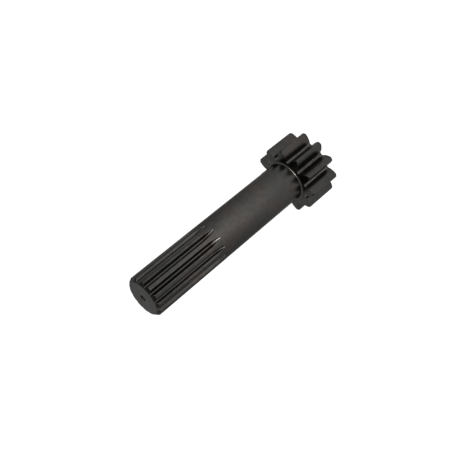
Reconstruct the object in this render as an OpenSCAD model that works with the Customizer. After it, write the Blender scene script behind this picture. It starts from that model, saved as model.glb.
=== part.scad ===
// Sun gear shaft: a spur pinion, a plain shaft and a splined end, all one piece of steel.
// It stands on the pinion's flat end. The origin is the centre of that end face,
// and +Z runs along the shaft to the splined end. Lengths are millimetres, angles degrees.

/* [Shaft] */
// Diameter of the plain shaft and of the spline crests
shaft_d = 31.2; // [26:0.1:33]
// Length from the pinion's inner face to the splined end
shaft_l = 146.5; // [110:0.5:200]
// Radius of the fillet where the shaft meets the pinion
shoulder_fillet_r = 1.5; // [0.5:0.1:2]
// Chamfer round the splined end
shaft_chamfer = 2.1; // [0.5:0.1:3]

/* [Pinion] */
// Number of pinion teeth
pinion_teeth = 11; // [11:1:14]
// Module of the pinion: pitch diameter divided by the number of teeth
pinion_module = 4; // [3.8:0.05:4.5]
// Pressure angle of the pinion teeth
pinion_pressure_angle = 25; // [22:0.5:26]
// Profile shift, in modules
pinion_shift = 0.25; // [0.1:0.01:0.3]
// Height of the teeth above the shifted pitch circle, in modules
pinion_addendum = 1; // [0.85:0.01:1.05]
// Depth of the teeth below the shifted pitch circle, in modules
pinion_dedendum = 1.15; // [1.05:0.01:1.2]
// Width of the toothed face
pinion_w = 28; // [18:0.5:45]
// Radius at the foot of each tooth
pinion_root_r = 1.7; // [0.8:0.05:1.75]
// Bevel along the two edges of each tooth tip
pinion_tip_bevel = 0.3; // [0.1:0.05:0.4]
// Chamfer on the tooth tips at both end faces
pinion_end_chamfer = 1; // [0.3:0.1:2]

/* [Spline] */
// Number of spline teeth
spline_teeth = 14; // [12:1:18]
// Pressure angle of the spline teeth
spline_pressure_angle = 30; // [25:0.5:35]
// Height of the crests above the spline's pitch circle, in modules
spline_addendum = 0.37; // [0.3:0.01:0.45]
// Depth of the flanks below the spline's pitch circle, in modules, where the round roots start
spline_dedendum = 0.6; // [0.5:0.01:0.7]
// Length of the grooves at full depth, from the splined end
spline_l = 53.7; // [25:0.1:80]
// Radius of the cutter, which shapes the run-out of each groove
cutter_r = 25; // [15:0.5:40]

/* [Centre holes] */
// Diameter of the pilot of each centre hole
centre_pilot_d = 2.5; // [1.6:0.1:3.2]
// Diameter of the cone at the mouth of each centre hole
centre_mouth_d = 5.3; // [4:0.1:8]
// Depth of each centre hole
centre_depth = 6; // [6:0.5:12]

/* [Hidden] */
$fn = 96;

// How far a cutting shape reaches past the surface that it cuts
margin = 1;
// Straight steps along one pinion flank, one foot radius, one spline flank and half a root
flank_steps = 10;
foot_steps = 6;
spline_flank_steps = 4;
spline_root_steps = 4;
// Included angle of a centre hole's cone and of a drill's point
centre_cone_angle = 60;
drill_point_angle = 118;
// Flat ring left on the pinion's inner face between the shaft's fillet and the tooth feet
fillet_land = 0.2;
// Most of the gap between two teeth that their two foot radii may take up
foot_share = 0.95;
// Most of half the thickness of a tooth tip that its bevel may take up
bevel_share = 0.8;
// Degrees in a radian
radian = 180 / PI;

shaft_r = shaft_d / 2;
total_l = pinion_w + shaft_l;

pinion_pitch_r = pinion_module * pinion_teeth / 2;
pinion_base_r = pinion_pitch_r * cos(pinion_pressure_angle);
pinion_tip_r = pinion_pitch_r + pinion_module * (pinion_shift + pinion_addendum);
pinion_foot_r = pinion_pitch_r + pinion_module * (pinion_shift - pinion_dedendum);
// Half the angle that a pinion tooth takes up where its involute starts
pinion_base_angle = (90 + 2 * pinion_shift * tan(pinion_pressure_angle) * radian) / pinion_teeth
    + involute(pinion_pressure_angle);
// The foot radius stays within the gap between two teeth
half_gap = 180 / pinion_teeth - pinion_base_angle;
gap_filling_r = pinion_foot_r * sin(half_gap) / (1 - sin(half_gap));
foot_r = min(pinion_root_r, foot_share * gap_filling_r);
// Radius at which the foot radius runs into the flank
foot_end_r = sqrt(pow(pinion_foot_r + foot_r, 2) - pow(foot_r, 2));

spline_module = shaft_d / (spline_teeth + 2 * spline_addendum);
spline_pitch_r = spline_module * spline_teeth / 2;
spline_base_r = spline_pitch_r * cos(spline_pressure_angle);
spline_form_r = max(spline_pitch_r - spline_module * spline_dedendum, spline_base_r);
// Half the angle of a groove where its two involutes start
groove_base_angle = 90 / spline_teeth - involute(spline_pressure_angle);
// A flank's normal touches the base circle, so the round root that runs into both flanks
// has its centre where that normal crosses the middle of the groove
root_roll = sqrt(pow(spline_form_r / spline_base_r, 2) - 1);
root_turn = groove_base_angle + root_roll * radian;
spline_root_r = spline_base_r * (tan(root_turn) - root_roll);
root_centre_r = spline_base_r / cos(root_turn);
spline_foot_r = root_centre_r - spline_root_r;
groove_depth = shaft_r - spline_foot_r;
// Turn of the cutter between full depth and where it leaves the shaft
runout_angle = acos((cutter_r - groove_depth - margin) / cutter_r);

// Involute function of a pressure angle, in degrees
function involute(angle) = tan(angle) * radian - angle;
// Angle that an involute has turned through at radius r, from its base circle
function roll(base_r, r) = r <= base_r ? 0 : involute(acos(base_r / r));
function polar(r, angle) = [r * cos(angle), r * sin(angle)];
function mirrored(points) = [for (i = [len(points) - 1 : -1 : 0]) [points[i][0], -points[i][1]]];
function turned(points, angle) = [for (p = points)
    [p[0] * cos(angle) - p[1] * sin(angle), p[0] * sin(angle) + p[1] * cos(angle)]];

// Half the angle that a pinion tooth takes up at radius r
function tooth_angle(r) = pinion_base_angle - roll(pinion_base_r, r);

// One side of a pinion tooth that points along +X, from above its tip to the foot circle.
// It runs on past the tip circle at the slope of the bevel, and the blank trims it there.
function tooth_side() =
    let (
        bevel_r = pinion_tip_r - pinion_tip_bevel,
        bevel = polar(bevel_r, tooth_angle(bevel_r)),
        overrun = 2 * pinion_tip_bevel,
        past_tip = min(overrun, bevel_share * bevel[1]),
        flank_r = max(pinion_base_r, foot_end_r),
        last_step = foot_end_r < pinion_base_r ? 0 : 1,
        foot_turn = asin(foot_r / (pinion_foot_r + foot_r)),
        foot_centre = polar(pinion_foot_r + foot_r, tooth_angle(foot_end_r) + foot_turn)
    )
    concat(
        [bevel + [overrun, -past_tip]],
        [for (i = [flank_steps : -1 : last_step])
            let (r = flank_r + (bevel_r - flank_r) * i / flank_steps)
            polar(r, tooth_angle(r))],
        [for (i = [0 : foot_steps])
            foot_centre + polar(foot_r, tooth_angle(foot_end_r) - 90 - (90 - foot_turn) * i / foot_steps)]
    );

module pinion_outline() {
    side = tooth_side();
    tooth = concat(mirrored(side), side);
    polygon([for (i = [0 : pinion_teeth - 1]) each turned(tooth, i * 360 / pinion_teeth)]);
}

// Turned blank of the pinion, which gives the teeth their tips and their end chamfers
module pinion_blank() {
    chamfered_r = pinion_tip_r - pinion_end_chamfer;
    rotate_extrude()
        polygon([
            [0, 0],
            [chamfered_r, 0],
            [pinion_tip_r, pinion_end_chamfer],
            [pinion_tip_r, pinion_w - pinion_end_chamfer],
            [chamfered_r, pinion_w],
            [0, pinion_w]
        ]);
}

module pinion() {
    intersection() {
        pinion_blank();
        translate([0, 0, -margin])
            linear_extrude(pinion_w + 2 * margin)
                pinion_outline();
    }
}

// Plain round shaft, from inside the pinion to its chamfered end
module shaft_blank() {
    rotate_extrude()
        polygon([
            [0, pinion_w / 2],
            [shaft_r, pinion_w / 2],
            [shaft_r, total_l - shaft_chamfer],
            [shaft_r - shaft_chamfer, total_l],
            [0, total_l]
        ]);
}

// Ring of metal that rounds the corner between the shaft and the pinion's inner face
module shoulder_fillet() {
    fillet_r = min(shoulder_fillet_r, pinion_foot_r - shaft_r - fillet_land);
    translate([0, 0, pinion_w])
        rotate_extrude()
            difference() {
                translate([shaft_r - margin, -margin])
                    square([fillet_r + margin, fillet_r + margin]);
                translate([shaft_r + fillet_r, fillet_r])
                    circle(r = fillet_r);
            }
}

// Section of one spline groove that opens along +X, cut on past the crests
module groove_section() {
    out_r = shaft_r + margin;
    bottom = [spline_foot_r, 0];
    root = [for (i = [1 : spline_root_steps])
        [root_centre_r, 0] + polar(spline_root_r, 180 - (90 - root_turn) * i / spline_root_steps)];
    flank = [for (i = [1 : spline_flank_steps])
        let (r = spline_form_r + (out_r - spline_form_r) * i / spline_flank_steps)
        polar(r, groove_base_angle + roll(spline_base_r, r))];
    half = concat(root, flank);
    polygon(concat(mirrored(half), [bottom], half));
}

// Path of the cutter: straight at full depth, then up and out on its own radius
module groove() {
    full_depth_z = total_l - spline_l;
    translate([0, 0, full_depth_z])
        linear_extrude(spline_l + margin)
            groove_section();
    translate([spline_foot_r + cutter_r, 0, full_depth_z])
        rotate([-90, 0, 180])
            rotate_extrude(angle = runout_angle)
                translate([spline_foot_r + cutter_r, 0])
                    mirror([1, 0])
                        groove_section();
}

module centre_hole() {
    cone_depth = (centre_mouth_d - centre_pilot_d) / 2 / tan(centre_cone_angle / 2);
    point_depth = centre_pilot_d / 2 / tan(drill_point_angle / 2);
    rotate_extrude()
        polygon([
            [0, margin],
            [centre_mouth_d / 2 + margin * tan(centre_cone_angle / 2), margin],
            [centre_pilot_d / 2, -cone_depth],
            [centre_pilot_d / 2, point_depth - centre_depth],
            [0, -centre_depth]
        ]);
}

module sun_gear_shaft() {
    color("dimgray")
        difference() {
            union() {
                pinion();
                shaft_blank();
                shoulder_fillet();
            }
            for (i = [0 : spline_teeth - 1])
                rotate([0, 0, (i + 0.5) * 360 / spline_teeth])
                    groove();
            translate([0, 0, total_l]) centre_hole();
            mirror([0, 0, 1]) centre_hole();
        }
}

sun_gear_shaft();
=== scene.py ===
"""Sun gear shaft in dark heat-treated steel, with the studio that it is shown in.

The piece stands on the pinion's end face at the origin, and +Z runs along the shaft to the
splined end. Everything is in metres.
"""

import math

import bmesh
import bpy
from bpy.props import (
    FloatProperty,
    FloatVectorProperty,
    IntProperty,
    PointerProperty,
)
from bpy.types import Operator, Panel, PropertyGroup
from mathutils import Euler, Matrix, Vector


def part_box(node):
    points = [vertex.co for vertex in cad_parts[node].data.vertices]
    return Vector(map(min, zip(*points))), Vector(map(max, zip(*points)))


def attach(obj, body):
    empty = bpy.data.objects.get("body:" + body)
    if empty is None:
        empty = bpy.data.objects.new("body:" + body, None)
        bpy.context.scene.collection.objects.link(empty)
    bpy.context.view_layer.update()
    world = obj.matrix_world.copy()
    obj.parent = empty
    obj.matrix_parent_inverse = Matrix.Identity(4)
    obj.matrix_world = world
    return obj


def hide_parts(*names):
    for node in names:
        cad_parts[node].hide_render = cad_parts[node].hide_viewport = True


bl_info = {
    "name": "Sun gear shaft",
    "version": (1, 0, 0),
    "blender": (4, 5, 0),
    "location": "3D View > Sidebar > Sun gear",
    "description": "Models a splined sun gear shaft in dark steel and sets up its studio",
    "category": "Object",
}

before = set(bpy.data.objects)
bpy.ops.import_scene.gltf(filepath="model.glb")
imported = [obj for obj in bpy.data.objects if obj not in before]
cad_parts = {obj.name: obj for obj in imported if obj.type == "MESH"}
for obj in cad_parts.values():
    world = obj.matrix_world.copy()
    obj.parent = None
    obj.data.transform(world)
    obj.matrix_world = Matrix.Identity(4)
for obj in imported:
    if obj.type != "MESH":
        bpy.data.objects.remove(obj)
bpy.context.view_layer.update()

CAD_NODE = "sun_gear_shaft"
BODY = "root"

CAD_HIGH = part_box(CAD_NODE)[1]

# Straight steps along each line of the piece's sections
GROOVE_ROOT_STEPS = 8
GROOVE_FLANK_STEPS = 5
EDGE_ROUND_STEPS = 4
CREST_STEPS = 4
RUN_OUT_STEPS = 30
TOOTH_TIP_STEPS = 1
TOOTH_FLANK_STEPS = 8
TOOTH_FOOT_STEPS = 6
TOOTH_ROOT_STEPS = 2
FILLET_STEPS = 8
CORNER_STEPS = 3
CHAMFER_STEPS = 4
STRAIGHT_STEPS = 6
PLAIN_STEPS = 8
BISECTION_STEPS = 40

# How much closer the rings of a run-out lie towards its tip
RUN_OUT_CROWDING = 1.6
# Radius at which a groove's side is drawn to, in shaft radii
PAST_CRESTS = 1.05
# Largest shares of a groove's side for the rounding of its edge and for its root
LARGEST_EDGE_ROUND = 0.4
LARGEST_ROOT = 0.7

SAME_PLACE = 1e-7
PINION_SHARP = math.radians(35)
SPLINE_SHARP = math.radians(18)
BEVELLED_EDGE = math.radians(25)
WORN_EDGE = math.radians(10)

# How far a spot has to lie inside the crests to be in a groove, and outside the shaft
# to be on its fillet, for the painted highlights there
INSIDE_CRESTS = 0.00002
OUTSIDE_SHAFT = 0.00005

# The finish: the lower and upper end of a noise, and what they are turned into
EDGE_WEAR = (0.35, 0.7, 0.15, 0.6)
WARMTH = (0.42, 0.66, 0.0, 1.0)
BLOTCH_SHADE = (0.3, 0.7, 0.9, 1.08)
GRAIN_SHADE = (0.25, 0.75, 0.97, 1.03)
BAND_ROUGHNESS = (0.3, 0.7, -0.02, 0.02)
GRAIN_ROUGHNESS = (0.3, 0.7, -0.012, 0.012)
SMOOTHEST_PATCH = 0.88
ROUGHEST_PATCH = 1.15
# The wear falls off this fast away from an edge
EDGE_WEAR_POWER = 6.0
# Sizes of the finer marks beside the patches and the rings that they go with
BLOTCH_SHARE = 5
BAND_SPACING = 9
FACING_SPACING = 1.5
# Heights of the marks beside each other, and how strongly the whole relief shows
RING_HEIGHT = 0.5
FACING_HEIGHT = 0.3
GRAIN_HEIGHT = 0.8
RELIEF_STRENGTH = 0.05
RELIEF_DEPTH = 0.00004
# Darker in and just round the mouth of a centre hole: how far it reaches in mouth radii, and
# its shade
DARK_RING_REACH = 1.3
HOLE_DARKENING = 0.25
# Painted light in the pilot, against the shade of its deep hole: where it ends in mouth radii,
# and its shade
PILOT_END = (0.4, 0.6)
PILOT_PAINTED_LIGHT = 1.3

WHITE = (1.0, 1.0, 1.0, 1.0)
FLOOR_COLOR = (0.8, 0.8, 0.8, 1.0)
# Heights of a line of sight at which the horizon ends and the ceiling starts
HORIZON_END = 0.35
CEILING_START = 0.9

# The add-on's settings


class ShaftSizes(PropertyGroup):
    diameter: FloatProperty(
        name="Diameter",
        description="Diameter of the plain shaft and of the spline crests",
        default=0.0312,
        min=0.026,
        max=0.033,
        precision=4,
        unit="LENGTH",
    )
    total_length: FloatProperty(
        name="Total length",
        description="Length of the whole piece, pinion and shaft",
        default=CAD_HIGH.z,
        min=0.14,
        max=0.25,
        precision=4,
        unit="LENGTH",
    )
    shoulder_fillet: FloatProperty(
        name="Shoulder fillet",
        description="Radius of the fillet where the shaft meets the pinion",
        default=0.0015,
        min=0.0005,
        max=0.002,
        precision=4,
        unit="LENGTH",
    )
    end_chamfer: FloatProperty(
        name="End chamfer",
        description="Chamfer round the splined end",
        default=0.0021,
        min=0.0005,
        max=0.003,
        precision=4,
        unit="LENGTH",
    )


class PinionSizes(PropertyGroup):
    teeth: IntProperty(
        name="Teeth",
        description="Number of pinion teeth",
        default=11,
        min=11,
        max=14,
    )
    module: FloatProperty(
        name="Module",
        description="Pitch diameter of the pinion divided by its number of teeth",
        default=0.004,
        min=0.0038,
        max=0.0045,
        precision=4,
        unit="LENGTH",
    )
    pressure_angle: FloatProperty(
        name="Pressure angle",
        description="Pressure angle of the pinion teeth",
        default=math.radians(25),
        unit="ROTATION",
    )
    shift: FloatProperty(
        name="Profile shift",
        description="Outward shift of the tooth form, in modules",
        default=0.25,
    )
    addendum: FloatProperty(
        name="Addendum",
        description="Height of the teeth above the shifted pitch circle, in modules",
        default=1.0,
    )
    dedendum: FloatProperty(
        name="Dedendum",
        description="Depth of the teeth below the shifted pitch circle, in modules",
        default=1.15,
    )
    width: FloatProperty(
        name="Width",
        description="Width of the toothed face",
        default=0.028,
        precision=4,
        unit="LENGTH",
    )
    foot_radius: FloatProperty(
        name="Foot radius",
        description="Radius at the foot of each tooth",
        default=0.0017,
        precision=4,
        unit="LENGTH",
    )
    end_chamfer: FloatProperty(
        name="End chamfer",
        description="Chamfer on the tooth tips at both end faces",
        default=0.001,
        precision=4,
        unit="LENGTH",
    )
    edge_break: FloatProperty(
        name="Edge break",
        description="Width of the rounding on the edges of the teeth",
        default=0.0002,
        precision=5,
        unit="LENGTH",
    )


class SplineSizes(PropertyGroup):
    teeth: IntProperty(
        name="Teeth",
        description="Number of spline teeth",
        default=14,
        min=12,
        max=18,
    )
    pressure_angle: FloatProperty(
        name="Pressure angle",
        description="Pressure angle of the spline teeth",
        default=math.radians(30),
        unit="ROTATION",
    )
    addendum: FloatProperty(
        name="Addendum",
        description="Height of the crests above the spline's pitch circle, in modules",
        default=0.37,
    )
    dedendum: FloatProperty(
        name="Dedendum",
        description="Depth of the flanks below the pitch circle, in modules",
        default=0.6,
    )
    full_depth_length: FloatProperty(
        name="Full depth length",
        description="Length of the grooves at full depth, from the splined end",
        default=0.0537,
        precision=4,
        unit="LENGTH",
    )
    cutter_radius: FloatProperty(
        name="Cutter radius",
        description="Radius of the cutter, which shapes the run-out of each groove",
        default=0.025,
        precision=4,
        unit="LENGTH",
    )
    edge_break: FloatProperty(
        name="Edge break",
        description="Width of the rounding on the edges of the crests",
        default=0.00025,
        precision=5,
        unit="LENGTH",
    )


class CentreHoleSizes(PropertyGroup):
    pilot_diameter: FloatProperty(
        name="Pilot diameter",
        description="Diameter of the pilot of each centre hole",
        default=0.0025,
        precision=4,
        unit="LENGTH",
    )
    mouth_diameter: FloatProperty(
        name="Mouth diameter",
        description="Diameter of the cone at the mouth of each centre hole",
        default=0.0053,
        precision=4,
        unit="LENGTH",
    )
    depth: FloatProperty(
        name="Depth",
        description="Depth of each centre hole",
        default=0.006,
        precision=4,
        unit="LENGTH",
    )
    cone_angle: FloatProperty(
        name="Cone angle",
        description="Included angle of the cone at the mouth",
        default=math.radians(60),
        unit="ROTATION",
    )
    point_angle: FloatProperty(
        name="Point angle",
        description="Included angle of the drill's point",
        default=math.radians(118),
        unit="ROTATION",
    )


class SteelFinish(PropertyGroup):
    color: FloatVectorProperty(
        name="Steel",
        description="Colour of the dark heat-treated surface",
        default=(0.0580, 0.0600, 0.0570),
        size=3,
        min=0.0,
        max=1.0,
        subtype="COLOR",
    )
    warm_color: FloatVectorProperty(
        name="Warm patches",
        description="Colour of the faintly brown patches that the heat leaves",
        default=(0.0690, 0.0632, 0.0600),
        size=3,
        min=0.0,
        max=1.0,
        subtype="COLOR",
    )
    # Also the colour of the painted highlights on one run-out and on the fillet
    wear_and_highlight_color: FloatVectorProperty(
        name="Worn edges",
        description="Colour of the brighter steel along worn edges",
        default=(0.195, 0.188, 0.178),
        size=3,
        min=0.0,
        max=1.0,
        subtype="COLOR",
    )
    # Painted highlight: one run-out's tip is given a brighter colour where the key lamp's
    # glint falls on it
    spot_place: FloatVectorProperty(
        name="Bright run-out",
        description="Middle of the spot where a run-out is worn bright",
        default=(-0.0064, -0.0133, 0.1112),
        size=3,
        subtype="TRANSLATION",
    )
    spot_size: FloatProperty(
        name="Bright spot size",
        description="Reach of that spot from its middle",
        default=0.007,
        precision=4,
        unit="LENGTH",
    )
    spot_highlight: FloatProperty(
        name="Bright spot wear",
        description="How far that spot is worn bright",
        default=0.7,
        min=0.0,
        max=1.0,
        subtype="FACTOR",
    )
    # Painted highlight: the whole fillet is given a brighter colour, for the lamp's crescent
    # of light on it
    fillet_highlight: FloatProperty(
        name="Fillet wear",
        description="How far the fillet at the pinion's foot is worn bright",
        default=0.5,
        min=0.0,
        max=1.0,
        subtype="FACTOR",
    )
    roughness: FloatProperty(
        name="Roughness",
        description="Roughness of the turned and ground surfaces",
        default=0.3,
        min=0.05,
        max=1.0,
        subtype="FACTOR",
    )
    rim_tint: FloatProperty(
        name="Rim tint",
        description="Tint of the steel where it is seen edge on",
        default=0.55,
        min=0.0,
        max=1.0,
        subtype="FACTOR",
    )
    patch_size: FloatProperty(
        name="Patch size",
        description="Size of the patches of colour",
        default=0.018,
        unit="LENGTH",
    )
    grain_size: FloatProperty(
        name="Grain size",
        description="Size of the fine grain of the surface",
        default=0.0005,
        precision=5,
        unit="LENGTH",
    )
    mark_spacing: FloatProperty(
        name="Mark spacing",
        description="Distance between the rings that the turning tool leaves",
        default=0.00022,
        precision=5,
        unit="LENGTH",
    )


class StudioSettings(PropertyGroup):
    camera_place: FloatVectorProperty(
        name="Camera place",
        description="Where the camera stands",
        default=(-0.16270, -0.42417, 0.33381),
        size=3,
        subtype="TRANSLATION",
    )
    camera_turn: FloatVectorProperty(
        name="Camera turn",
        description="How the camera is turned",
        default=(
            math.radians(-49.9632),
            math.radians(43.1296),
            math.radians(-171.5269),
        ),
        size=3,
        subtype="EULER",
    )
    lens: FloatProperty(
        name="Lens",
        description="Focal length of the camera, in millimetres",
        default=57.6,
    )
    world_level: FloatProperty(
        name="Surroundings",
        description="Level of the white surroundings at the horizon",
        default=0.38,
    )
    ceiling_level: FloatProperty(
        name="Ceiling",
        description="Level of the darker ceiling, straight overhead",
        default=0.15,
    )
    floor_lift: FloatProperty(
        name="Floor lift",
        description="How much brighter the floor looks than its own light makes it",
        default=0.84,
    )
    mirrored_level: FloatProperty(
        name="Mirrored floor",
        description="Level of the floor in the piece's reflections",
        default=0.4,
    )
    panel_reach: FloatProperty(
        name="Panel reach",
        description="Distance from its middle at which the panel is down to a quarter",
        default=0.27,
        unit="LENGTH",
    )
    floor_width: FloatProperty(
        name="Floor width",
        description="Width of the floor",
        default=12.0,
        unit="LENGTH",
    )


# Shapes


def involute(angle):
    return math.tan(angle) - angle


def unrolled(base_radius, radius):
    """Angle that an involute has turned through at a radius, from its base circle."""
    if radius <= base_radius:
        return 0.0
    return involute(math.acos(base_radius / radius))


def polar(radius, angle):
    return Vector((radius * math.cos(angle), radius * math.sin(angle)))


def between(start, end, steps):
    """Evenly spaced values after start, up to and including end."""
    return [start + (end - start) * i / steps for i in range(1, steps + 1)]


def curved(start, corner, end, steps):
    """Points after start on a smooth curve that rounds a corner."""
    return [
        start * (1 - t) ** 2 + corner * 2 * t * (1 - t) + end * t**2
        for t in between(0.0, 1.0, steps)
    ]


def ring_of(half, count, first_angle):
    """Places round the axis, from half of one tooth or groove whose middle is on +X."""
    mirrored = [Vector((p.x, -p.y)) for p in reversed(half[1:-1])]
    whole = mirrored + half
    places = []
    for i in range(count):
        turn = Matrix.Rotation(first_angle + i * math.tau / count, 2)
        places += [turn @ p for p in whole]
    return places


def crossing(inside, outside, is_inside):
    """The value between two others at which a test stops holding."""
    for _ in range(BISECTION_STEPS):
        middle = (inside + outside) / 2
        if is_inside(middle):
            inside = middle
        else:
            outside = middle
    return inside


class SplineForm:
    """The spline's section at any height, worked out from its sizes.

    A groove's side is one line: 0 is the bottom of the round root, 1 is where the root
    runs into the involute flank, and 2 is a little outside the crests.
    """

    def __init__(self, sizes, shaft_radius):
        self.teeth = sizes.teeth
        module = 2 * shaft_radius / (sizes.teeth + 2 * sizes.addendum)
        pitch_radius = module * sizes.teeth / 2
        self.base_radius = pitch_radius * math.cos(sizes.pressure_angle)
        self.form_radius = max(pitch_radius - module * sizes.dedendum, self.base_radius)
        self.outer_radius = shaft_radius
        self.base_angle = math.pi / 2 / sizes.teeth - involute(sizes.pressure_angle)
        roll = math.sqrt((self.form_radius / self.base_radius) ** 2 - 1)
        self.root_turn = self.base_angle + roll
        self.root_radius = self.base_radius * (math.tan(self.root_turn) - roll)
        self.root_centre = self.base_radius / math.cos(self.root_turn)
        self.cutter_radius = sizes.cutter_radius
        self.cutter_axis = self.root_centre - self.root_radius + sizes.cutter_radius
        self.edge_break = sizes.edge_break
        reach = self.cutter_axis - shaft_radius
        self.run_out = math.sqrt(self.cutter_radius**2 - reach**2)

    def side(self, place, past):
        """A point of the groove's side, at a distance past the end of full depth."""
        if place < 1:
            angle = math.pi - place * (math.pi / 2 - self.root_turn)
            point = Vector((self.root_centre, 0.0)) + polar(self.root_radius, angle)
        else:
            outside = PAST_CRESTS * self.outer_radius
            radius = self.form_radius + (place - 1) * (outside - self.form_radius)
            point = polar(radius, self.base_angle + unrolled(self.base_radius, radius))
        return self.lifted(point, past)

    def lifted(self, point, past):
        """The cutter carries a point outwards as it leaves the shaft."""
        reach = self.cutter_axis - point.x
        return Vector((self.cutter_axis - math.sqrt(reach**2 - past**2), point.y))

    def half(self, outer_radius, past):
        """From the middle of a groove to the middle of a crest."""
        bottom = self.side(0.0, past)
        if bottom.x >= outer_radius - SAME_PLACE:
            steps = GROOVE_ROOT_STEPS + GROOVE_FLANK_STEPS + EDGE_ROUND_STEPS
            points = [Vector((outer_radius, 0.0))] * (steps + 1)
            round_end = 0.0
        else:
            edge_place = crossing(0.0, 2.0, lambda u: self.side(u, past).length < outer_radius)
            edge = self.side(edge_place, past)
            depth = (edge - bottom).length
            width = min(self.edge_break, LARGEST_EDGE_ROUND * depth)
            start = crossing(
                0.0, edge_place, lambda u: (self.side(u, past) - edge).length > width
            )
            root_end = min(1.0, start * LARGEST_ROOT)
            places = [0.0] + between(0.0, root_end, GROOVE_ROOT_STEPS)
            places += between(root_end, start, GROOVE_FLANK_STEPS)
            points = [self.side(place, past) for place in places]
            round_end = math.atan2(edge.y, edge.x) + width / outer_radius
            on_crest = polar(outer_radius, round_end)
            points += curved(points[-1], edge, on_crest, EDGE_ROUND_STEPS)
        for angle in between(round_end, math.pi / self.teeth, CREST_STEPS):
            points.append(polar(outer_radius, angle))
        return points

    def ring(self, outer_radius, past):
        half = self.half(outer_radius, past)
        return ring_of(half, self.teeth, math.pi / self.teeth)


class PinionForm:
    """The pinion's section at any height, worked out from its sizes."""

    def __init__(self, sizes):
        self.teeth = sizes.teeth
        pitch_radius = sizes.module * sizes.teeth / 2
        self.base_radius = pitch_radius * math.cos(sizes.pressure_angle)
        self.tip_radius = pitch_radius + sizes.module * (sizes.shift + sizes.addendum)
        self.foot_circle = pitch_radius + sizes.module * (sizes.shift - sizes.dedendum)
        thickness = math.pi / 2 + 2 * sizes.shift * math.tan(sizes.pressure_angle)
        self.base_angle = thickness / sizes.teeth + involute(sizes.pressure_angle)
        self.foot_radius = sizes.foot_radius
        foot_axis = self.foot_circle + self.foot_radius
        self.foot_end = math.sqrt(foot_axis**2 - self.foot_radius**2)

    def tooth_angle(self, radius):
        return self.base_angle - unrolled(self.base_radius, radius)

    def half(self, tip_radius):
        """From the middle of a tooth tip to the middle of the gap beside it."""
        points = [polar(tip_radius, 0.0)]
        tip_angle = self.tooth_angle(tip_radius)
        for angle in between(0.0, tip_angle, TOOTH_TIP_STEPS):
            points.append(polar(tip_radius, angle))
        flank_start = max(self.base_radius, self.foot_end)
        for radius in between(tip_radius, flank_start, TOOTH_FLANK_STEPS):
            points.append(polar(radius, self.tooth_angle(radius)))
        foot_angle = self.tooth_angle(self.foot_end)
        foot_turn = math.asin(self.foot_radius / (self.foot_circle + self.foot_radius))
        centre = polar(self.foot_circle + self.foot_radius, foot_angle + foot_turn)
        sweep_start = foot_angle - math.pi / 2
        sweep_end = foot_angle + foot_turn - math.pi
        sweep = [sweep_start] + between(sweep_start, sweep_end, TOOTH_FOOT_STEPS)
        for angle in sweep:
            points.append(centre + polar(self.foot_radius, angle))
        gap_middle = math.pi / self.teeth
        for angle in between(foot_angle + foot_turn, gap_middle, TOOTH_ROOT_STEPS):
            points.append(polar(self.foot_circle, angle))
        return points

    def ring(self, tip_radius):
        return ring_of(self.half(tip_radius), self.teeth, 0.0)


class RingMesh:
    """A mesh that is drawn out ring by ring, each ring an extrusion of the one before."""

    def __init__(self, mesh, column, places, height):
        self.mesh = mesh
        self.column = column
        made = bmesh.ops.create_circle(mesh, segments=len(places), radius=1.0)["verts"]
        for i, vert in enumerate(made):
            vert[column] = i
        self.edges = list({edge for vert in made for edge in vert.link_edges})
        self.first = self.edges
        self.place(made, places, height)

    def place(self, verts, places, height):
        for vert in verts:
            point = places[vert[self.column]]
            vert.co = (point.x, point.y, height)

    def extend(self, places, height):
        made = bmesh.ops.extrude_edge_only(self.mesh, edges=self.edges)["geom"]
        self.edges = [item for item in made if isinstance(item, bmesh.types.BMEdge)]
        verts = [item for item in made if isinstance(item, bmesh.types.BMVert)]
        self.place(verts, places, height)

    def close(self, places, height):
        """Draws the last ring in to one point on the axis."""
        self.extend([Vector((0.0, 0.0)) for _ in places], height)


def on_circle(places, radius):
    return [p.normalized() * radius for p in places]


def drill_centre_hole(rings, places, face, inwards, hole):
    """Carries an end face's ring on into its centre hole, down to the drill's point."""
    mouth = hole.mouth_diameter / 2
    pilot = hole.pilot_diameter / 2
    cone_depth = (mouth - pilot) / math.tan(hole.cone_angle / 2)
    point_depth = pilot / math.tan(hole.point_angle / 2)
    rings.extend(on_circle(places, mouth), face)
    rings.extend(on_circle(places, pilot), face + inwards * cone_depth)
    rings.extend(on_circle(places, pilot), face + inwards * (hole.depth - point_depth))
    rings.close(places, face + inwards * hole.depth)


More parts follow.
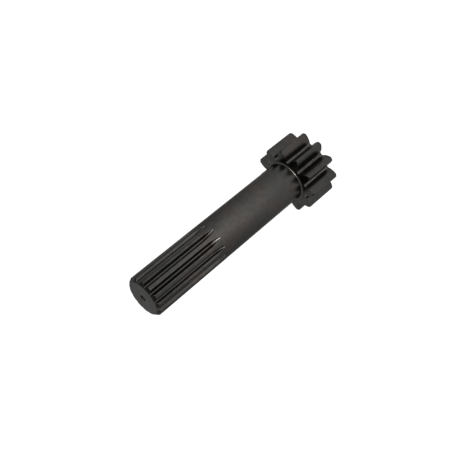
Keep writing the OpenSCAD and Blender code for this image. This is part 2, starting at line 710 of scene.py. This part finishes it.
def draw_shaft(mesh, column, sizes):
    """Splined end, run-outs, plain shaft and fillet. Returns the fillet's last ring."""
    shaft, spline_sizes, hole = sizes.shaft, sizes.spline, sizes.centre_hole
    radius, top = shaft.diameter / 2, shaft.total_length
    spline = SplineForm(spline_sizes, radius)
    end_radius = radius - shaft.end_chamfer

    # The end face, from inside the spline's feet to the bottom of the centre hole
    outline = spline.ring(end_radius - spline_sizes.edge_break, 0.0)
    foot_radius = min(point.length for point in outline)
    inner = on_circle(outline, foot_radius - 2 * spline_sizes.edge_break)
    rings = RingMesh(mesh, column, inner, top)
    rings.extend(on_circle(inner, (foot_radius + hole.mouth_diameter) / 2), top)
    drill_centre_hole(rings, inner, top, -1, hole)

    # The chamfer, with both of its edges rounded
    end_corner = Vector((end_radius, top))
    crest_corner = Vector((radius, top - shaft.end_chamfer))
    crest_end = Vector((radius, top - spline_sizes.full_depth_length))
    along = (crest_corner - end_corner).normalized() * spline_sizes.edge_break
    down = (crest_end - crest_corner).normalized() * spline_sizes.edge_break
    profile = [end_corner - Vector((spline_sizes.edge_break, 0.0))]
    profile += curved(profile[-1], end_corner, end_corner + along, CORNER_STEPS)
    profile += between(end_corner + along, crest_corner - along, CHAMFER_STEPS)
    profile += curved(profile[-1], crest_corner, crest_corner + down, CORNER_STEPS)
    profile += between(crest_corner + down, crest_end, STRAIGHT_STEPS)
    rings.edges = rings.first
    for point in profile:
        rings.extend(spline.ring(point.x, 0.0), point.y)

    # The run-outs: the grooves come out of the shaft on the cutter's radius
    for left in reversed(between(0.0, 1.0, RUN_OUT_STEPS)[:-1]):
        past = spline.run_out * (1 - left**RUN_OUT_CROWDING)
        rings.extend(spline.ring(radius, past), crest_end.y - past)
    plain = spline.ring(radius, spline.run_out)
    run_out_end = crest_end.y - spline.run_out
    rings.extend(plain, run_out_end)

    # The plain shaft and the fillet up to the pinion
    fillet = shaft.shoulder_fillet
    pinion_face = sizes.pinion.width
    for height in between(run_out_end, pinion_face + fillet, PLAIN_STEPS):
        rings.extend(plain, height)
    for turn in between(0.0, math.pi / 2, FILLET_STEPS):
        grown = radius + fillet * (1 - math.cos(turn))
        height = pinion_face + fillet * (1 - math.sin(turn))
        rings.extend(on_circle(plain, grown), height)
    return rings.edges


def draw_pinion(mesh, column, sizes):
    """The toothed part, open towards the shaft. Returns the edges of that opening."""
    pinion_sizes = sizes.pinion
    pinion = PinionForm(pinion_sizes)
    width, chamfer = pinion_sizes.width, pinion_sizes.end_chamfer
    chamfered = pinion.ring(pinion.tip_radius - chamfer)
    half_way = pinion.ring(pinion.tip_radius - chamfer / 2)
    full = pinion.ring(pinion.tip_radius)
    shaft_radius = sizes.shaft.diameter / 2 + sizes.shaft.shoulder_fillet
    land = on_circle(full, (shaft_radius + pinion.foot_circle) / 2)

    rings = RingMesh(mesh, column, land, width)
    rings.extend(chamfered, width)
    rings.extend(half_way, width - chamfer / 2)
    rings.extend(full, width - chamfer)
    rings.extend(full, width / 2)
    rings.extend(full, chamfer)
    rings.extend(half_way, chamfer / 2)
    rings.extend(chamfered, 0.0)
    rings.extend(land, 0.0)
    rings.extend(on_circle(land, pinion.foot_circle / 2), 0.0)
    drill_centre_hole(rings, land, 0.0, 1, sizes.centre_hole)
    return rings.first


def break_tooth_edges(mesh, sizes):
    """Rounds the sharp edges of the pinion's teeth."""
    pinion = PinionForm(sizes.pinion)
    top = sizes.pinion.width + SAME_PLACE
    reach = pinion.foot_circle - SAME_PLACE
    sharp = [
        edge
        for edge in mesh.edges
        if edge.calc_face_angle(0.0) > BEVELLED_EDGE
        and all(v.co.z < top and v.co.xy.length > reach for v in edge.verts)
    ]
    bmesh.ops.bevel(
        mesh,
        geom=sharp,
        offset=sizes.pinion.edge_break,
        offset_type="OFFSET",
        segments=3,
        profile=0.5,
        affect="EDGES",
        material=-1,
        clamp_overlap=True,
        loop_slide=True,
    )


def mark_edges(mesh, sizes):
    """Keeps sharp edges sharp, and marks the outward ones, which wear brighter."""
    worn = mesh.verts.layers.float.new("worn_edge")
    pinion_top = sizes.pinion.width + sizes.shaft.shoulder_fillet
    for face in mesh.faces:
        face.smooth = True
    for edge in mesh.edges:
        angle = edge.calc_face_angle_signed(0.0)
        on_pinion = all(v.co.z < pinion_top for v in edge.verts)
        edge.smooth = abs(angle) < (PINION_SHARP if on_pinion else SPLINE_SHARP)
        if angle > WORN_EDGE:
            for vert in edge.verts:
                vert[worn] = 1.0


def draw_piece(sizes, name):
    mesh = bmesh.new()
    column = mesh.verts.layers.int.new("column")
    opening = draw_shaft(mesh, column, sizes)
    opening = opening + draw_pinion(mesh, column, sizes)
    bmesh.ops.bridge_loops(mesh, edges=opening)
    bmesh.ops.remove_doubles(mesh, verts=mesh.verts, dist=SAME_PLACE)
    bmesh.ops.recalc_face_normals(mesh, faces=mesh.faces)
    break_tooth_edges(mesh, sizes)
    mark_edges(mesh, sizes)
    mesh.verts.layers.int.remove(column)
    data = bpy.data.meshes.new(name)
    mesh.to_mesh(data)
    mesh.free()
    piece = bpy.data.objects.new(name, data)
    bpy.context.scene.collection.objects.link(piece)
    return piece


# Materials


class NodeBench:
    """Puts nodes into a material, a world or a lamp and joins them."""

    def __init__(self, owner):
        owner.use_nodes = True
        self.tree = owner.node_tree
        self.tree.nodes.clear()

    def node(self, kind, inputs=None, **settings):
        node = self.tree.nodes.new(kind)
        for key, value in settings.items():
            setattr(node, key, value)
        for key, value in (inputs or {}).items():
            self.feed(node.inputs[key], value)
        return node

    def feed(self, socket, value):
        if isinstance(value, bpy.types.NodeSocket):
            self.tree.links.new(value, socket)
        elif isinstance(value, bpy.types.bpy_prop_array):
            socket.default_value = [*value][: len(socket.default_value)]
        else:
            socket.default_value = value

    def math(self, operation, first, second=0.0):
        node = self.node("ShaderNodeMath", operation=operation)
        self.feed(node.inputs[0], first)
        self.feed(node.inputs[1], second)
        return node.outputs[0]

    def mapped(self, value, low, high, to_low=0.0, to_high=1.0):
        """Turns the range from low to high into another, smoothly at both ends."""
        node = self.node("ShaderNodeMapRange", interpolation_type="SMOOTHSTEP")
        for key, number in (
            ("Value", value),
            ("From Min", low),
            ("From Max", high),
            ("To Min", to_low),
            ("To Max", to_high),
        ):
            self.feed(node.inputs[key], number)
        return node.outputs["Result"]

    def blended(self, share, first, second, blend_type="MIX"):
        """A mix of two colours."""
        node = self.node("ShaderNodeMix", data_type="RGBA", blend_type=blend_type)
        self.feed(node.inputs["Factor"], share)
        self.feed(node.inputs["A"], first)
        self.feed(node.inputs["B"], second)
        return node.outputs["Result"]

    def distance(self, place, other):
        node = self.node("ShaderNodeVectorMath", operation="DISTANCE")
        self.feed(node.inputs[0], place)
        self.feed(node.inputs[1], other)
        return node.outputs["Value"]

    def noise(self, place, size, detail=2.0, roughness=0.5):
        node = self.node("ShaderNodeTexNoise", noise_dimensions="3D")
        self.feed(node.inputs["Vector"], place)
        node.inputs["Scale"].default_value = 1.0 / size
        node.inputs["Detail"].default_value = detail
        node.inputs["Roughness"].default_value = roughness
        return node.outputs["Fac"]

    def lines(self, along, size, detail=1.0):
        """Uneven lines across one coordinate, a size apart."""
        node = self.node("ShaderNodeTexNoise", noise_dimensions="1D")
        self.feed(node.inputs["W"], along)
        node.inputs["Scale"].default_value = 1.0 / size
        node.inputs["Detail"].default_value = detail
        return node.outputs["Fac"]


def opaque(color):
    return (color[0], color[1], color[2], 1.0)


def wear_and_highlights(bench, place, from_axis, height, blotches, sizes):
    """How far each spot is worn bright on outward edges, with painted highlights on one
    run-out and the fillet.
    """
    finish = sizes.finish
    shaft_radius = sizes.shaft.diameter / 2
    edges = bench.node("ShaderNodeAttribute", attribute_name="worn_edge").outputs["Fac"]
    edges = bench.math("POWER", edges, EDGE_WEAR_POWER)
    edges = bench.math("MULTIPLY", edges, bench.mapped(blotches, *EDGE_WEAR))

    # Painted highlight on one run-out's tip, where the key lamp glints
    away = bench.distance(place, finish.spot_place)
    spot = bench.mapped(away, finish.spot_size / 2, finish.spot_size, finish.spot_highlight, 0.0)
    in_groove = bench.math("LESS_THAN", from_axis, shaft_radius - INSIDE_CRESTS)
    spot = bench.math("MULTIPLY", spot, in_groove)

    # Painted highlight along the fillet
    off_face = bench.math("GREATER_THAN", height, sizes.pinion.width)
    off_shaft = bench.math("GREATER_THAN", from_axis, shaft_radius + OUTSIDE_SHAFT)
    on_fillet = bench.math("MULTIPLY", off_shaft, off_face)
    fillet = bench.math("MULTIPLY", on_fillet, finish.fillet_highlight)
    return bench.math("MAXIMUM", bench.math("MAXIMUM", edges, spot), fillet)


def shading(bench, from_axis, blotches, grain, mouth_radius):
    """Uneven darkness of the steel, darker in and just round each centre hole's mouth, with
    painted light in the pilot.
    """
    shade = bench.mapped(blotches, *BLOTCH_SHADE)
    shade = bench.math("MULTIPLY", shade, bench.mapped(grain, *GRAIN_SHADE))
    reach = mouth_radius * DARK_RING_REACH
    # Darker in the cone and just round the mouth of each centre hole
    darker_round_mouth = bench.mapped(from_axis, mouth_radius, reach, HOLE_DARKENING, 1.0)
    # Painted light: the deep pilot is made lighter against its own shade
    inner, outer = (mouth_radius * end for end in PILOT_END)
    pilot = bench.mapped(from_axis, inner, outer, PILOT_PAINTED_LIGHT, 0.0)
    shade = bench.math("MULTIPLY", shade, bench.math("MAXIMUM", darker_round_mouth, pilot))
    tone = bench.node("ShaderNodeCombineColor", {"Red": shade, "Green": shade, "Blue": shade})
    return tone.outputs["Color"]


def relief(bench, rings, facing, grain):
    """Turning marks and grain as a very shallow bump."""
    marks = bench.math(
        "ADD",
        bench.math("MULTIPLY", rings, RING_HEIGHT),
        bench.math("MULTIPLY", facing, FACING_HEIGHT),
    )
    height = bench.math("ADD", marks, bench.math("MULTIPLY", grain, GRAIN_HEIGHT))
    bump = bench.node(
        "ShaderNodeBump",
        {"Strength": RELIEF_STRENGTH, "Distance": RELIEF_DEPTH, "Height": height},
    )
    return bump.outputs["Normal"]


def dark_steel(sizes):
    """Heat-treated steel, oiled and handled: tool marks, patches, brighter edges and painted
    highlights on one run-out and on the fillet.
    """
    finish = sizes.finish
    steel = bpy.data.materials.new("dark_steel")
    bench = NodeBench(steel)
    place = bench.node("ShaderNodeTexCoord").outputs["Object"]
    axes = bench.node("ShaderNodeSeparateXYZ", {"Vector": place}).outputs
    side = bench.math("MULTIPLY", axes["X"], axes["X"])
    other_side = bench.math("MULTIPLY", axes["Y"], axes["Y"])
    from_axis = bench.math("SQRT", bench.math("ADD", side, other_side))

    patches = bench.noise(place, finish.patch_size, detail=4.0, roughness=0.6)
    blotches = bench.noise(place, finish.patch_size / BLOTCH_SHARE, detail=3.0, roughness=0.6)
    grain = bench.noise(place, finish.grain_size, detail=3.0, roughness=0.65)
    rings = bench.lines(axes["Z"], finish.mark_spacing, detail=2.0)
    bands = bench.lines(axes["Z"], finish.mark_spacing * BAND_SPACING, detail=2.0)
    facing = bench.lines(from_axis, finish.mark_spacing * FACING_SPACING, detail=1.0)

    warmth = bench.mapped(patches, *WARMTH)
    color = bench.blended(warmth, opaque(finish.color), opaque(finish.warm_color))
    tone = shading(bench, from_axis, blotches, grain, sizes.centre_hole.mouth_diameter / 2)
    color = bench.blended(1.0, color, tone, blend_type="MULTIPLY")
    # Worn edges, and painted highlights on one run-out and on the fillet
    worn = wear_and_highlights(bench, place, from_axis, axes["Z"], blotches, sizes)
    color = bench.blended(worn, color, opaque(finish.wear_and_highlight_color))

    smoothest = finish.roughness * SMOOTHEST_PATCH
    roughest = finish.roughness * ROUGHEST_PATCH
    rough = bench.mapped(patches, 0.3, 0.7, smoothest, roughest)
    rough = bench.math("ADD", rough, bench.mapped(bands, *BAND_ROUGHNESS))
    rough = bench.math("ADD", rough, bench.mapped(grain, *GRAIN_ROUGHNESS))

    surface = bench.node(
        "ShaderNodeBsdfPrincipled",
        {
            "Base Color": color,
            "Metallic": 1.0,
            "Roughness": rough,
            "Specular Tint": opaque([finish.rim_tint] * 3),
            "Normal": relief(bench, rings, facing, grain),
        },
    )
    output = bench.node("ShaderNodeOutputMaterial")
    bench.feed(output.inputs["Surface"], surface.outputs["BSDF"])
    return steel


def pale_floor(studio):
    """White floor that keeps the piece's shadow, and is at an even level in reflections."""
    material = bpy.data.materials.new("pale_floor")
    bench = NodeBench(material)
    path = bench.node("ShaderNodeLightPath").outputs
    matt = bench.node("ShaderNodeBsdfDiffuse", {"Color": FLOOR_COLOR})
    level = bench.math("MULTIPLY", path["Is Camera Ray"], studio.floor_lift)
    lift = bench.node("ShaderNodeEmission", {"Color": WHITE, "Strength": level})
    seen = bench.node("ShaderNodeAddShader")
    bench.feed(seen.inputs[0], matt.outputs[0])
    bench.feed(seen.inputs[1], lift.outputs[0])

    level = studio.mirrored_level
    mirrored = bench.node("ShaderNodeEmission", {"Color": WHITE, "Strength": level})
    either = bench.node("ShaderNodeMixShader")
    in_mirror = bench.math("MAXIMUM", path["Is Glossy Ray"], path["Is Transmission Ray"])
    bench.feed(either.inputs[0], in_mirror)
    bench.feed(either.inputs[1], seen.outputs[0])
    bench.feed(either.inputs[2], mirrored.outputs[0])
    output = bench.node("ShaderNodeOutputMaterial")
    bench.feed(output.inputs["Surface"], either.outputs[0])
    return material


# Operators


def gear_sizes():
    return bpy.context.scene.sun_gear


class GEAR_OT_steel_shaft(Operator):
    """Model the sun gear shaft in place of its plain solid"""

    bl_idname = "sun_gear.steel_shaft"
    bl_label = "Steel shaft"

    def execute(self, context):
        piece = draw_piece(gear_sizes(), "steel_sun_gear_shaft")
        piece.data.materials.append(dark_steel(gear_sizes()))
        normals = piece.modifiers.new("face_normals", "WEIGHTED_NORMAL")
        normals.keep_sharp = True
        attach(piece, BODY)
        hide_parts(CAD_NODE)
        return {"FINISHED"}


LAMPS = (
    # name, place, what it faces, width, height, power in watts, colour
    ("key", (-0.37, -0.83, 0.365), (0.0, 0.0, 0.09), 0.12, 0.32, 3.0, (1.0, 0.96, 0.93)),
    ("side", (-0.128, -0.912, 0.40), (0.0, 0.0, 0.09), 0.80, 0.25, 2.6, (1.0, 0.97, 0.95)),
    ("back", (0.386, 1.007, 0.62), (0.0, 0.0, 0.09), 0.50, 0.32, 0.38, (0.97, 0.99, 1.0)),
)

# A panel that lies on the floor before the piece and shines upwards
PANEL_PLACE = (-0.065, -0.255, 0.001)
PANEL_AIM = (-0.065, -0.255, 1.0)
PANEL = ("panel", PANEL_PLACE, PANEL_AIM, 1.2, 1.2, 5.5, (1.0, 0.935, 0.925))


class GEAR_OT_studio(Operator):
    """Set up the floor, the surroundings, the lamps and the camera"""

    bl_idname = "sun_gear.studio"
    bl_label = "Studio"

    def execute(self, context):
        studio = gear_sizes().studio
        scene = context.scene
        self.make_floor(studio)
        self.make_world(scene, studio)
        for lamp in LAMPS:
            self.make_lamp(scene, *lamp)
        panel = self.make_lamp(scene, *PANEL)
        self.fade_panel(panel.data, studio.panel_reach)
        self.make_camera(scene, studio)
        scene.view_settings.view_transform = "Standard"
        return {"FINISHED"}

    def make_floor(self, studio):
        mesh = bmesh.new()
        bmesh.ops.create_grid(mesh, x_segments=1, y_segments=1, size=studio.floor_width / 2)
        data = bpy.data.meshes.new("floor")
        mesh.to_mesh(data)
        mesh.free()
        data.materials.append(pale_floor(studio))
        floor = bpy.data.objects.new("floor", data)
        bpy.context.scene.collection.objects.link(floor)

    def make_world(self, scene, studio):
        world = bpy.data.worlds.new("white_surroundings")
        bench = NodeBench(world)
        way = bench.node("ShaderNodeTexCoord").outputs["Generated"]
        rise = bench.node("ShaderNodeSeparateXYZ", {"Vector": way}).outputs["Z"]
        ends = (studio.world_level, studio.ceiling_level)
        level = bench.mapped(rise, HORIZON_END, CEILING_START, *ends)
        in_view = bench.node("ShaderNodeLightPath").outputs["Is Camera Ray"]
        level = bench.math("MAXIMUM", level, in_view)
        light = bench.node("ShaderNodeBackground", {"Color": WHITE, "Strength": level})
        output = bench.node("ShaderNodeOutputWorld")
        bench.feed(output.inputs["Surface"], light.outputs[0])
        scene.world = world

    def make_lamp(self, scene, name, place, aim, width, height, power, color):
        data = bpy.data.lights.new(name, "AREA")
        data.shape = "ELLIPSE"
        data.size, data.size_y = width, height
        data.energy = power
        data.color = color
        lamp = bpy.data.objects.new(name, data)
        scene.collection.objects.link(lamp)
        lamp.location = place
        direction = Vector(aim) - Vector(place)
        lamp.rotation_euler = direction.to_track_quat("-Z", "Y").to_euler()
        lamp.visible_camera = False
        return lamp

    def fade_panel(self, data, reach):
        """The panel gets dimmer away from its middle, so it has no rim."""
        bench = NodeBench(data)
        place = bench.node("ShaderNodeNewGeometry").outputs["Position"]
        away = bench.math("DIVIDE", bench.distance(place, PANEL_PLACE), reach)
        fade = bench.math("ADD", bench.math("MULTIPLY", away, away), 1.0)
        level = bench.math("DIVIDE", 1.0, bench.math("MULTIPLY", fade, fade))
        light = bench.node("ShaderNodeEmission", {"Strength": level})
        output = bench.node("ShaderNodeOutputLight")
        bench.feed(output.inputs["Surface"], light.outputs[0])

    def make_camera(self, scene, studio):
        data = bpy.data.cameras.new("camera")
        data.sensor_width = 36.0
        data.lens = studio.lens
        camera = bpy.data.objects.new("camera", data)
        scene.collection.objects.link(camera)
        camera.location = studio.camera_place
        camera.rotation_euler = Euler(studio.camera_turn)
        scene.camera = camera


class GEAR_PT_sun_gear(Panel):
    """Sizes, finish and studio of the sun gear shaft"""

    bl_idname = "GEAR_PT_sun_gear"
    bl_label = "Sun gear shaft"
    bl_space_type = "VIEW_3D"
    bl_region_type = "UI"
    bl_category = "Sun gear"

    def draw(self, context):
        sizes = context.scene.sun_gear
        for title, group in (
            ("Shaft", sizes.shaft),
            ("Pinion", sizes.pinion),
            ("Spline", sizes.spline),
            ("Centre holes", sizes.centre_hole),
            ("Finish", sizes.finish),
            ("Studio", sizes.studio),
        ):
            box = self.layout.box()
            box.label(text=title)
            for name in group.__annotations__:
                box.prop(group, name)
        self.layout.operator(GEAR_OT_steel_shaft.bl_idname)
        self.layout.operator(GEAR_OT_studio.bl_idname)


class SunGearSettings(PropertyGroup):
    shaft: PointerProperty(type=ShaftSizes, name="Shaft", description="Sizes of the shaft")
    pinion: PointerProperty(type=PinionSizes, name="Pinion", description="Sizes of the pinion")
    spline: PointerProperty(type=SplineSizes, name="Spline", description="Sizes of the spline")
    centre_hole: PointerProperty(
        type=CentreHoleSizes,
        name="Centre holes",
        description="Sizes of the centre holes",
    )
    finish: PointerProperty(type=SteelFinish, name="Finish", description="Look of the steel")
    studio: PointerProperty(type=StudioSettings, name="Studio", description="Camera and light")


CLASSES = (
    ShaftSizes,
    PinionSizes,
    SplineSizes,
    CentreHoleSizes,
    SteelFinish,
    StudioSettings,
    SunGearSettings,
    GEAR_OT_steel_shaft,
    GEAR_OT_studio,
    GEAR_PT_sun_gear,
)


def register():
    for cls in CLASSES:
        bpy.utils.register_class(cls)
    bpy.types.Scene.sun_gear = PointerProperty(type=SunGearSettings)


def unregister():
    del bpy.types.Scene.sun_gear
    for cls in reversed(CLASSES):
        bpy.utils.unregister_class(cls)


def main():
    register()
    bpy.ops.sun_gear.steel_shaft()
    bpy.ops.sun_gear.studio()


if __name__ == "__main__":
    main()
